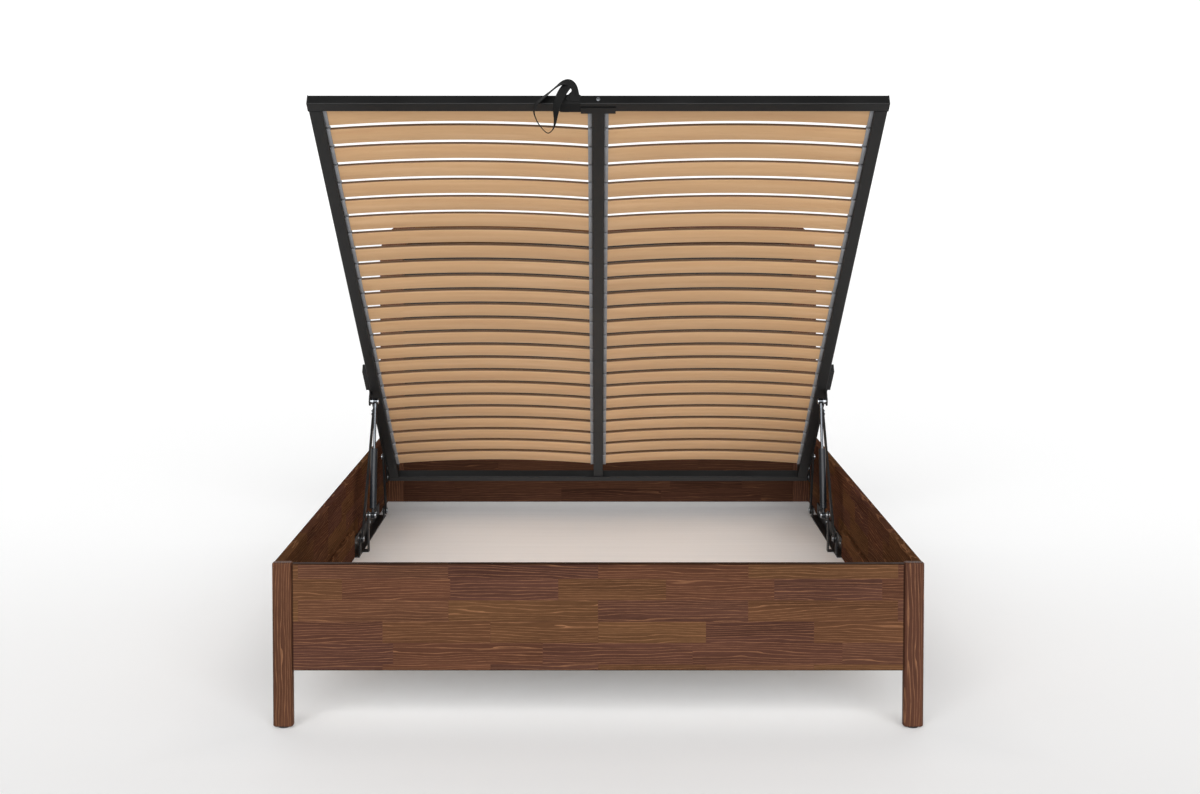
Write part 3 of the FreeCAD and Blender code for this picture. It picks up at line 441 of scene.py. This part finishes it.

# Clear varnish on sliced beech: honey coloured, with short dark flecks along the fibres,
# and long edges darkened by painted shade, with the lines of the veneers over it. Each slat has its own
# tone.
beech, tree = start_material("varnished_beech_plywood")
place = add(tree, "ShaderNodeTexCoord", {})
in_deck = add(tree, "ShaderNodeMapping", {
    "Vector": place.outputs["Object"], "Rotation": (DECK_TILT, 0, 0),
    "Location": DECK_PLACE.inverted().translation})
axes = add(tree, "ShaderNodeSeparateXYZ", {"Vector": in_deck.outputs[0]})
row = add(tree, "ShaderNodeMath", {
    0: axes.outputs["Y"], 1: 1 / SLAT_PITCH, 2: ROW_START - FIRST_SLAT / SLAT_PITCH},
    operation="MULTIPLY_ADD")
number = add(tree, "ShaderNodeMath", {0: row.outputs[0]}, operation="FLOOR")
column = add(tree, "ShaderNodeMath", {0: axes.outputs["X"]}, operation="SIGN")
key = add(tree, "ShaderNodeMath", {
    0: column.outputs[0], 1: COLUMN_START, 2: number.outputs[0]}, operation="MULTIPLY_ADD")
chance = add(tree, "ShaderNodeTexWhiteNoise", {"W": key.outputs[0]}, noise_dimensions="1D")
shifted = add(tree, "ShaderNodeVectorMath", {
    0: chance.outputs["Color"], 1: SLAT_SHIFT, 2: in_deck.outputs[0]}, operation="MULTIPLY_ADD")
fibre_run = add(tree, "ShaderNodeVectorMath", {
    0: shifted.outputs[0], 1: (FLECK_STRETCH, 1, 1)}, operation="MULTIPLY")
flecks = add(tree, "ShaderNodeTexNoise", {
    "Vector": fibre_run.outputs[0], "Scale": 420, "Detail": 2, "Roughness": 0.7})
bands = add(tree, "ShaderNodeTexNoise", {"Vector": fibre_run.outputs[0], "Scale": 45, "Detail": 3})
shade = add(tree, "ShaderNodeValToRGB", {"Fac": bands.outputs[0]},
            stops=((0.3, "#c99e72"), (0.7, "#d4ac81"), (0.5, "#cea578")))
tone = add(tree, "ShaderNodeMapRange", {"Value": chance.outputs["Value"], "To Min": 0.96, "To Max": 1.03})
slat_tone = add(tree, "ShaderNodeHueSaturation", {
    "Value": tone.outputs[0], "Color": shade.outputs["Color"]})
fleck = add(tree, "ShaderNodeMapRange", {
    "Value": flecks.outputs[0], "From Min": 0.56, "From Max": 0.75, "To Max": 0.2})
flecked = add(tree, "ShaderNodeMix", {
    MIX_FACTOR: fleck.outputs[0], MIX_A: slat_tone.outputs["Color"], MIX_B: linear(FLECK_COLOUR)},
    data_type="RGBA")
reach = add(tree, "ShaderNodeMath", {0: axes.outputs["X"]}, operation="ABSOLUTE")
from_middle = add(tree, "ShaderNodeMath", {
    0: reach.outputs[0], 1: 1 / slat_half, 2: -slat_middle / slat_half}, operation="MULTIPLY_ADD")
squared = add(tree, "ShaderNodeMath", {0: from_middle.outputs[0], 1: 2}, operation="POWER")
level = add(tree, "ShaderNodeMath", {
    0: squared.outputs[0], 1: SLAT_CROWN, 2: axes.outputs["Z"]}, operation="MULTIPLY_ADD")
ply = add(tree, "ShaderNodeMath", {0: level.outputs[0], 1: 2 * math.pi / VENEER}, operation="MULTIPLY")
layers = add(tree, "ShaderNodeMath", {0: ply.outputs[0]}, operation="SINE")
edge_on = add(tree, "ShaderNodeNewGeometry", {})
facing = add(tree, "ShaderNodeVectorMath", {
    0: edge_on.outputs["Normal"], 1: DECK_PLACE.to_3x3() @ Vector((0, 1, 0))}, operation="DOT_PRODUCT")
on_edge = add(tree, "ShaderNodeMath", {0: facing.outputs["Value"]}, operation="ABSOLUTE")
ply_line = add(tree, "ShaderNodeMath", {0: layers.outputs[0], 1: on_edge.outputs[0]}, operation="MULTIPLY")
ply_shade = add(tree, "ShaderNodeMapRange", {
    "Value": ply_line.outputs[0], "From Min": 0.2, "From Max": 1, "To Max": 0.5})
# Painted shade: the long edges are darkened as if in shadow; the lines of the veneers over them are the
# plywood's own.
edge_shade = add(tree, "ShaderNodeMapRange", {
    "Value": on_edge.outputs[0], "From Min": 0.5, "From Max": 0.9, "To Max": 0.9})
edged = add(tree, "ShaderNodeMix", {
    MIX_FACTOR: edge_shade.outputs[0], MIX_A: flecked.outputs[MIX_RESULT],
    MIX_B: linear(SLAT_EDGE_PAINTED_SHADE)}, data_type="RGBA")
colour = add(tree, "ShaderNodeMix", {
    MIX_FACTOR: ply_shade.outputs[0], MIX_A: edged.outputs[MIX_RESULT], MIX_B: linear(PLY_COLOUR)},
    data_type="RGBA")
sheen = add(tree, "ShaderNodeMapRange", {"Value": flecks.outputs[0], "To Min": 0.38, "To Max": 0.55})
bump = add(tree, "ShaderNodeBump", {"Strength": 0.2, "Distance": 0.0002, "Height": flecks.outputs[0]})
surface = add(tree, "ShaderNodeBsdfPrincipled", {
    "Base Color": colour.outputs[MIX_RESULT], "Roughness": sheen.outputs[0], "Normal": bump.outputs[0],
    "IOR": 1.5, "Coat Weight": 0.1, "Coat Roughness": 0.25})
add(tree, "ShaderNodeOutputMaterial", {"Surface": surface.outputs[0]})

for side, sign in (("left", -1), ("right", 1)):
    bpy.ops.object.select_all(action="DESELECT")
    crown = (sign * slat_middle, FIRST_SLAT + SLAT_ROOM / 2, SLAT_SEAT + SLAT_CROWN + SLAT_THICKNESS / 2)
    bpy.ops.mesh.primitive_plane_add(size=1, location=crown, rotation=(0, math.radians(90), 0))
    slat = bpy.context.object
    slat.scale = (SLAT_THICKNESS, SLAT_WIDTH, 1)
    bpy.ops.object.transform_apply()
    pivot = Matrix.Translation((sign * slat_middle, 0, bow_centre))
    slat.matrix_world = pivot @ Matrix.Rotation(bow_angle, 4, "Y") @ pivot.inverted()
    bpy.ops.object.transform_apply()
    bpy.ops.object.mode_set(mode="EDIT")
    bpy.ops.mesh.select_all(action="SELECT")
    bpy.ops.mesh.bevel(offset=SLAT_EASING, segments=3, affect="VERTICES")
    bpy.ops.mesh.spin(steps=BOW_STEPS, angle=2 * bow_angle, axis=(0, 1, 0),
                      center=(sign * slat_middle, 0, bow_centre))
    bpy.ops.mesh.select_all(action="SELECT")
    bpy.ops.mesh.normals_make_consistent(inside=False)
    bpy.ops.object.mode_set(mode="OBJECT")
    bpy.ops.object.shade_smooth_by_angle(angle=SLAT_CREASE)
    set_in_deck(slat)
    finish_piece(slat, f"bowed_slats_{side}", beech, "beech_slat", f"slats_{side}")

# Pull strap.
# Flat polyester webbing: two turns round the foot tube, and a hand loop that stands up from it, twists and
# hangs down in front. Each row below is a place along it and the degrees that the webbing is turned there.
STRAP_WIDTH = 0.025
STRAP_THICKNESS = 0.0022
STRAP_COLUMNS = 8
RIB = 0.003
STITCH_ROWS = 5
STRAP_ROWS = (
    (-0.0545, -0.8695, 1.4294, -89), (-0.0545, -0.8625, 1.4391, -84), (-0.0535, -0.8561, 1.4481, -50),
    (-0.0540, -0.8520, 1.4580, -34), (-0.0575, -0.8500, 1.4680, -38), (-0.0670, -0.8495, 1.4745, -53),
    (-0.0780, -0.8510, 1.4745, -38), (-0.0886, -0.8550, 1.4708, -15), (-0.1051, -0.8600, 1.4577, -5),
    (-0.1208, -0.8680, 1.4446, -14), (-0.1362, -0.8790, 1.4304, -20), (-0.1446, -0.8840, 1.4231, -18),
    (-0.1493, -0.8850, 1.4124, -10), (-0.1500, -0.8850, 1.4016, -5), (-0.1458, -0.8840, 1.3897, -3),
    (-0.1409, -0.8830, 1.3789, -2), (-0.1350, -0.8820, 1.3707, -1), (-0.1278, -0.8810, 1.3623, 0),
    (-0.1208, -0.8800, 1.3558, 0), (-0.1154, -0.8800, 1.3539, 0), (-0.1089, -0.8800, 1.3588, 2),
    (-0.1035, -0.8800, 1.3670, 5), (-0.1016, -0.8800, 1.3731, 9), (-0.0993, -0.8800, 1.3885, 17),
    (-0.0986, -0.8810, 1.4042, 34), (-0.0970, -0.8810, 1.4196, 46), (-0.0909, -0.8760, 1.4362, 59),
    (-0.0813, -0.8650, 1.4553, 62), (-0.0735, -0.8560, 1.4655, 58), (-0.0665, -0.8525, 1.4700, 50),
    (-0.0585, -0.8510, 1.4640, 34), (-0.0552, -0.8510, 1.4560, 30), (-0.0560, -0.8541, 1.4467, 36),
    (-0.0620, -0.8605, 1.4377, 82), (-0.0670, -0.8675, 1.4280, 89))

# Polyester webbing: black, with ribs across it and rows of stitches of the weave along it, low sheen.
# The ribs are drawn at 3 mm so that they show; the real ones are finer.
webbing_cloth, tree = start_material("woven_polyester_webbing")
place = add(tree, "ShaderNodeTexCoord", {})
axes = add(tree, "ShaderNodeSeparateXYZ", {"Vector": place.outputs["UV"]})
along = add(tree, "ShaderNodeMath", {0: axes.outputs["X"], 1: 2 * math.pi / RIB}, operation="MULTIPLY")
over = add(tree, "ShaderNodeMath", {
    0: axes.outputs["Y"], 1: STITCH_ROWS * 2 * math.pi / STRAP_WIDTH}, operation="MULTIPLY")
ribs = add(tree, "ShaderNodeMath", {0: along.outputs[0]}, operation="SINE")
rows = add(tree, "ShaderNodeMath", {0: over.outputs[0]}, operation="SINE")
weave = add(tree, "ShaderNodeMath", {0: ribs.outputs[0], 1: rows.outputs[0]}, operation="MULTIPLY")
fuzz = add(tree, "ShaderNodeTexNoise", {"Vector": place.outputs["Object"], "Scale": 500, "Detail": 2})
threads = add(tree, "ShaderNodeMath", {
    0: weave.outputs[0], 1: 0.35, 2: fuzz.outputs[0]}, operation="MULTIPLY_ADD")
shade = add(tree, "ShaderNodeValToRGB", {"Fac": threads.outputs[0]},
            stops=((0.2, "#060606"), (0.8, "#141414")))
bump = add(tree, "ShaderNodeBump", {"Strength": 0.6, "Distance": 0.0005, "Height": threads.outputs[0]})
surface = add(tree, "ShaderNodeBsdfPrincipled", {
    "Base Color": shade.outputs["Color"], "Roughness": 0.8, "Normal": bump.outputs[0],
    "Specular IOR Level": 0.25})
add(tree, "ShaderNodeOutputMaterial", {"Surface": surface.outputs[0]})


def webbing(name, run):
    """A strip of webbing through rows, each a middle point and the direction across the strip."""
    bpy.ops.object.select_all(action="DESELECT")
    bpy.ops.mesh.primitive_grid_add(size=1, x_subdivisions=len(run) - 1, y_subdivisions=STRAP_COLUMNS)
    strip = bpy.context.object
    strip.name = name
    length = sum((b[0] - a[0]).length for a, b in zip(run, run[1:]))
    for loop in strip.data.loops:
        spot = strip.data.vertices[loop.vertex_index].co
        on_strip = ((spot.x + 0.5) * length, (spot.y + 0.5) * STRAP_WIDTH)
        strip.data.uv_layers[0].data[loop.index].uv = on_strip
    for vertex in strip.data.vertices:
        middle, across = run[round((vertex.co.x + 0.5) * (len(run) - 1))]
        vertex.co = middle + across * (vertex.co.y * STRAP_WIDTH)
    apply_modifier(strip, "SOLIDIFY", thickness=STRAP_THICKNESS, offset=0)
    apply_modifier(strip, "SUBSURF", levels=2, render_levels=2)
    bpy.ops.object.shade_smooth()
    strip.data.materials.append(webbing_cloth)
    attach(strip, "slat_deck")
    return strip


points = [Vector(row[:3]) for row in STRAP_ROWS]
loop_run = []
for i, row in enumerate(STRAP_ROWS):
    heading = (points[min(i + 1, len(points) - 1)] - points[max(i - 1, 0)]).normalized()
    depth = (Vector((0, 1, 0)) - heading * heading.y).normalized()
    turn = math.radians(row[3])
    loop_run.append((points[i], depth * math.cos(turn) + heading.cross(depth) * math.sin(turn)))
pull_loop = webbing("pull_strap_loop", loop_run)
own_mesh(pull_loop)
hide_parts("pull_strap")

# The turns round the tube. Seen from the side, the webbing has three points at each corner of the tube.
FOOT_TUBE = ((-1.995, -1.965), (0, 0.025))
WRAP_GAP = 0.0013
WRAP_BEND = 0.003
WRAP_PLACES = (-0.0535, -0.0775)
for number, across_bed in enumerate(WRAP_PLACES):
    wrap_run = []
    for quarter in range(4):
        turn = quarter * math.pi / 2
        corner_y = FOOT_TUBE[0][1 if quarter in (0, 3) else 0]
        corner_z = FOOT_TUBE[1][1 if quarter in (0, 1) else 0]
        inward_y = -1 if quarter in (0, 3) else 1
        inward_z = -1 if quarter in (0, 1) else 1
        for share in (0, 0.5, 1):
            bend = turn + share * math.pi / 2
            spot = Vector((across_bed,
                           corner_y + inward_y * (WRAP_BEND - WRAP_GAP) + WRAP_BEND * math.cos(bend),
                           corner_z + inward_z * (WRAP_BEND - WRAP_GAP) + WRAP_BEND * math.sin(bend)))
            wrap_run.append((DECK_PLACE @ spot, Vector((1, 0, 0))))
    wrap_run.append(wrap_run[0])
    webbing(f"pull_strap_turn_{number + 1}", wrap_run)

# Pad in the headboard.
# Foam under woven cloth, stapled to the thin board behind it, so that only its front swells.
# It starts flatter than the solid, fills the frame to the edges and reaches down over the gap below it.
THREAD = 0.005
PAD_FIT = (1.004, 0.82, 1.012)
PAD_TUCK = 0.012
PAD_VOXEL = 0.009
PAD_WELD = 0.00005
MOST_SWELL = 0.007
SETTLE_STEPS = 20

# Woven cloth: nearly black and matt, with a faint sheen where it turns away.
# The weave is drawn at 5 mm so that it shows; the real thread is finer.
pad_cloth, tree = start_material("woven_upholstery_cloth")
place = add(tree, "ShaderNodeTexCoord", {})
axes = add(tree, "ShaderNodeSeparateXYZ", {"Vector": place.outputs["Object"]})
warp = add(tree, "ShaderNodeMath", {0: axes.outputs["X"], 1: 2 * math.pi / THREAD}, operation="MULTIPLY")
weft = add(tree, "ShaderNodeMath", {0: axes.outputs["Z"], 1: 2 * math.pi / THREAD}, operation="MULTIPLY")
warp_wave = add(tree, "ShaderNodeMath", {0: warp.outputs[0]}, operation="SINE")
weft_wave = add(tree, "ShaderNodeMath", {0: weft.outputs[0]}, operation="SINE")
weave = add(tree, "ShaderNodeMath", {
    0: warp_wave.outputs[0], 1: weft_wave.outputs[0]}, operation="MULTIPLY")
fuzz = add(tree, "ShaderNodeTexNoise", {"Vector": place.outputs["Object"], "Scale": 260, "Detail": 3})
threads = add(tree, "ShaderNodeMath", {
    0: weave.outputs[0], 1: 0.3, 2: fuzz.outputs[0]}, operation="MULTIPLY_ADD")
shade = add(tree, "ShaderNodeValToRGB", {"Fac": threads.outputs[0]},
            stops=((0.2, "#0d0b0b"), (0.8, "#191615")))
bump = add(tree, "ShaderNodeBump", {"Strength": 0.5, "Distance": 0.0008, "Height": threads.outputs[0]})
surface = add(tree, "ShaderNodeBsdfPrincipled", {
    "Base Color": shade.outputs["Color"], "Roughness": 0.85, "Normal": bump.outputs[0],
    "Sheen Weight": 0.04, "Sheen Roughness": 0.5})
add(tree, "ShaderNodeOutputMaterial", {"Surface": surface.outputs[0]})

low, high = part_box("headboard_pad")
pad = bpy.data.objects.new("headboard_cushion", nodes["headboard_pad"].data.copy())
bpy.context.scene.collection.objects.link(pad)
pad.data.materials.clear()
take(pad)
pad_back = Vector(((low.x + high.x) / 2, high.y, low.z))
pad_down = pad_back - Vector((0, 0, PAD_TUCK))
pad.matrix_world = (Matrix.Translation(pad_down) @ Matrix.Diagonal((*PAD_FIT, 1))
                    @ Matrix.Translation(-pad_back))
bpy.ops.object.transform_apply()
bpy.ops.object.mode_set(mode="EDIT")
bpy.ops.mesh.select_all(action="SELECT")
bpy.ops.mesh.remove_doubles(threshold=PAD_WELD)
bpy.ops.object.mode_set(mode="OBJECT")
apply_modifier(pad, "REMESH", mode="VOXEL", voxel_size=PAD_VOXEL)
before = [vertex.co.copy() for vertex in pad.data.vertices]
stapled = pad.vertex_groups.new(name="stapled")
stapled.add([v.index for v in pad.data.vertices if v.co.y > high.y - PAD_VOXEL / 2], 1, "REPLACE")
foam = pad.modifiers.new("Cloth", "CLOTH")
foam.settings.quality = 6
foam.settings.mass = 0.3
foam.settings.tension_stiffness = 12
foam.settings.compression_stiffness = 12
foam.settings.bending_stiffness = 0.4
foam.settings.use_pressure = True
foam.settings.uniform_pressure_force = 4
foam.settings.effector_weights.gravity = 0
foam.settings.vertex_group_mass = stapled.name
for step in range(1, SETTLE_STEPS + 1):
    bpy.context.scene.frame_set(step)
take(pad)
bpy.ops.object.modifier_apply(modifier=foam.name)
bpy.context.scene.frame_set(1)
for vertex, start in zip(pad.data.vertices, before):
    move = vertex.co - start
    vertex.co = start + move * min(1, MOST_SWELL / max(move.length, 1e-9))
apply_modifier(pad, "SUBSURF", levels=1, render_levels=1)
bpy.ops.object.shade_smooth()
pad.data.materials.append(pad_cloth)
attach(pad, "bed_frame")
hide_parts("headboard_pad")

# Studio: a floor of pale paper, a surround that is white low down and greyer overhead, and six soft lamps.
# The paper glows a little, more at the back, so that it runs into the white, and less under the bed.
# The surround is weaker to the sides, which leaves the inner faces of the rails darker.
STUDIO_SIZE = 60
STUDIO_LEVEL = -0.0005
PAPER_COLOUR = "#e6e6e6"
UNDER_BED_GLOW = 0.45
# Direction seen from above and height in degrees, power, and angle of the lamp's disc in degrees
LAMPS = (
    ("side_lamp_left", -78, 40, 0.1, 40), ("side_lamp_right", 78, 40, 0.1, 40),
    ("front_lamp_left", -20, 28, 1.4, 36), ("front_lamp_right", 20, 28, 1.4, 36),
    ("low_front_lamp", 0, 6, 0.55, 50), ("back_lamp", 180, 48, 0.5, 60))
bpy.ops.object.select_all(action="DESELECT")
bpy.ops.mesh.primitive_plane_add(size=STUDIO_SIZE, location=(0, 0, STUDIO_LEVEL))
studio_floor = bpy.context.object
studio_floor.name = "studio_floor"
paper, tree = start_material("studio_paper")
place = add(tree, "ShaderNodeTexCoord", {})
axes = add(tree, "ShaderNodeSeparateXYZ", {"Vector": place.outputs["Object"]})
far = add(tree, "ShaderNodeMapRange", {
    "Value": axes.outputs["Y"], "From Min": -1.4, "From Max": 1.6, "To Min": 0.125, "To Max": 0.26})
reach = add(tree, "ShaderNodeVectorMath", {0: place.outputs["Object"]}, operation="ABSOLUTE")
spread = add(tree, "ShaderNodeSeparateXYZ", {"Vector": reach.outputs[0]})
beside = add(tree, "ShaderNodeMapRange", {
    "Value": spread.outputs["X"], "From Min": 0.55, "From Max": 1, "To Min": UNDER_BED_GLOW})
beyond = add(tree, "ShaderNodeMapRange", {
    "Value": spread.outputs["Y"], "From Min": 0.85, "From Max": 1.3, "To Min": UNDER_BED_GLOW})
clear = add(tree, "ShaderNodeMath", {0: beside.outputs[0], 1: beyond.outputs[0]}, operation="MAXIMUM")
glow = add(tree, "ShaderNodeMath", {0: far.outputs[0], 1: clear.outputs[0]}, operation="MULTIPLY")
surface = add(tree, "ShaderNodeBsdfPrincipled", {
    "Base Color": linear(PAPER_COLOUR), "Roughness": 0.9, "Emission Color": linear("#ffffff"),
    "Emission Strength": glow.outputs[0]})
add(tree, "ShaderNodeOutputMaterial", {"Surface": surface.outputs[0]})
studio_floor.data.materials.append(paper)

world = bpy.data.worlds.new("studio_surround")
world.use_nodes = True
world.node_tree.nodes.clear()
place = add(world.node_tree, "ShaderNodeTexCoord", {})
axes = add(world.node_tree, "ShaderNodeSeparateXYZ", {"Vector": place.outputs["Generated"]})
dome = add(world.node_tree, "ShaderNodeValToRGB", {"Fac": axes.outputs["Z"]},
           stops=((0.3, "#ffffff"), (0.75, "#5c5c5c")))
sideways = add(world.node_tree, "ShaderNodeMath", {0: axes.outputs["X"]}, operation="ABSOLUTE")
strength = add(world.node_tree, "ShaderNodeMapRange", {
    "Value": sideways.outputs[0], "From Min": 0.4, "From Max": 1, "To Min": 1.15, "To Max": 0.4})
surround = add(world.node_tree, "ShaderNodeBackground", {
    "Color": dome.outputs["Color"], "Strength": strength.outputs[0]})
add(world.node_tree, "ShaderNodeOutputWorld", {"Surface": surround.outputs[0]})
bpy.context.scene.world = world
bpy.context.scene.view_settings.view_transform = "Standard"

for name, around, rise, power, disc in LAMPS:
    lamp = bpy.data.lights.new(name, "SUN")
    lamp.energy = power
    lamp.angle = math.radians(disc)
    aim = Matrix.Rotation(math.radians(around), 3, "Z") @ Vector((0, -1, math.tan(math.radians(rise))))
    stand = bpy.data.objects.new(name, lamp)
    stand.rotation_euler = aim.to_track_quat("Z", "Y").to_euler()
    bpy.context.scene.collection.objects.link(stand)

# Camera: in front of the foot end, at about chest height and all but level.
# Its frame is shifted down to the bed.
lens = bpy.data.cameras.new("camera")
lens.sensor_width = 36
lens.lens = 53.55
lens.shift_x = 0.0015
lens.shift_y = -0.1153
camera = bpy.data.objects.new("camera", lens)
camera.location = (0, -5.0481, 1.2442)
camera.rotation_euler = (math.radians(87.5), 0, 0)
bpy.context.scene.collection.objects.link(camera)
bpy.context.scene.camera = camera
